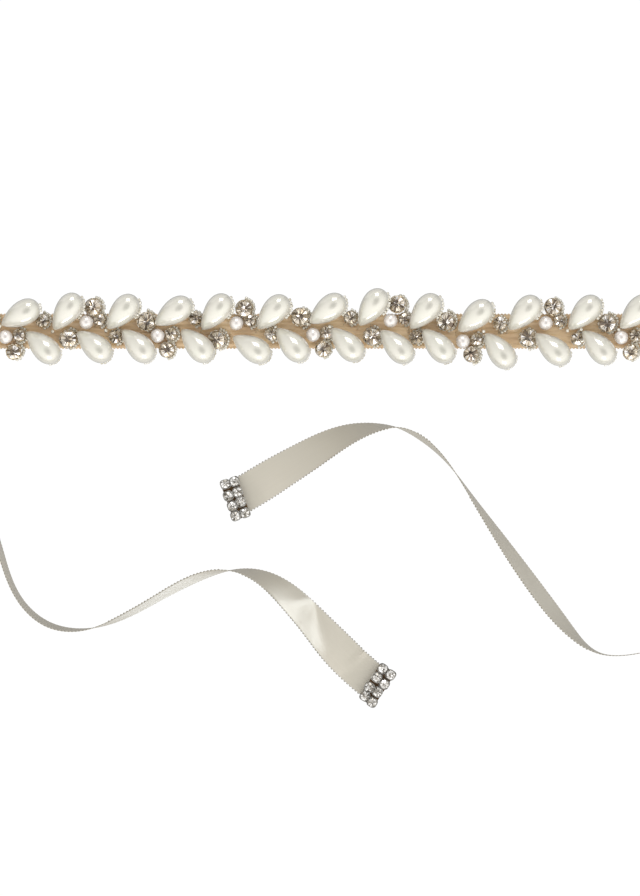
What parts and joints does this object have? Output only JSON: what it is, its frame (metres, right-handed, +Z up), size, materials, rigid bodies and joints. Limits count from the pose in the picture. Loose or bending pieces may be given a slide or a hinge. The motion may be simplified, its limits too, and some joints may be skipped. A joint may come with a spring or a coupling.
{
  "type": "bridal sash",
  "caption": "Narrow satin ribbon sash laid out flat, its middle sewn with drop pearls, round pearls and cut crystals, each free end closed by a small crystal trim.",
  "frame": {"origin": "middle of the bounding box's underside, on the surface that the sash lies on", "axes": "+X along the beaded band from its left end to its right end, +Y from the tails towards the band in the plane of the surface, +Z up from the surface"},
  "size_m": [0.805, 0.173, 0.0154],
  "materials": {
    "satin": "ivory double-faced satin with a soft lengthwise sheen and a small picot on both selvedges",
    "pearl": "ivory imitation pearl, glossy",
    "crystal": "clear cut glass with a foiled back",
    "setting": "plated cups and claws, silver turning to pale gold",
    "bead": "silver-lined clear seed beads",
    "thread": "beading thread, ecru"
  },
  "bodies": {
    "root": {"ribbon_middle": "satin", "ribbon_left_1": "satin", "ribbon_left_2": "satin", "ribbon_left_3": "satin", "ribbon_left_4": "satin", "ribbon_left_5": "satin", "ribbon_right_1": "satin", "ribbon_right_2": "satin", "ribbon_right_3": "satin", "ribbon_right_4": "satin", "ribbon_right_5": "satin", "drop_upper_01": "pearl", "drop_upper_02": "pearl", "drop_upper_03": "pearl", "drop_upper_04": "pearl", "drop_upper_05": "pearl", "drop_upper_06": "pearl", "drop_upper_07": "pearl", "drop_upper_08": "pearl", "drop_upper_09": "pearl", "drop_upper_10": "pearl", "drop_upper_11": "pearl", "drop_upper_12": "pearl", "drop_upper_13": "pearl", "drop_upper_14": "pearl", "drop_upper_15": "pearl", "drop_upper_16": "pearl", "drop_upper_17": "pearl", "drop_upper_18": "pearl", "drop_upper_19": "pearl", "drop_upper_20": "pearl", "drop_upper_21": "pearl", "drop_lower_01": "pearl", "drop_lower_02": "pearl", "drop_lower_03": "pearl", "drop_lower_04": "pearl", "drop_lower_05": "pearl", "drop_lower_06": "pearl", "drop_lower_07": "pearl", "drop_lower_08": "pearl", "drop_lower_09": "pearl", "drop_lower_10": "pearl", "drop_lower_11": "pearl", "drop_lower_12": "pearl", "drop_lower_13": "pearl", "drop_lower_14": "pearl", "drop_lower_15": "pearl", "drop_lower_16": "pearl", "drop_lower_17": "pearl", "drop_lower_18": "pearl", "drop_lower_19": "pearl", "drop_lower_20": "pearl", "drop_lower_21": "pearl", "end_trim_left": "setting", "end_trim_right": "setting"}
  },
  "joints": []
}
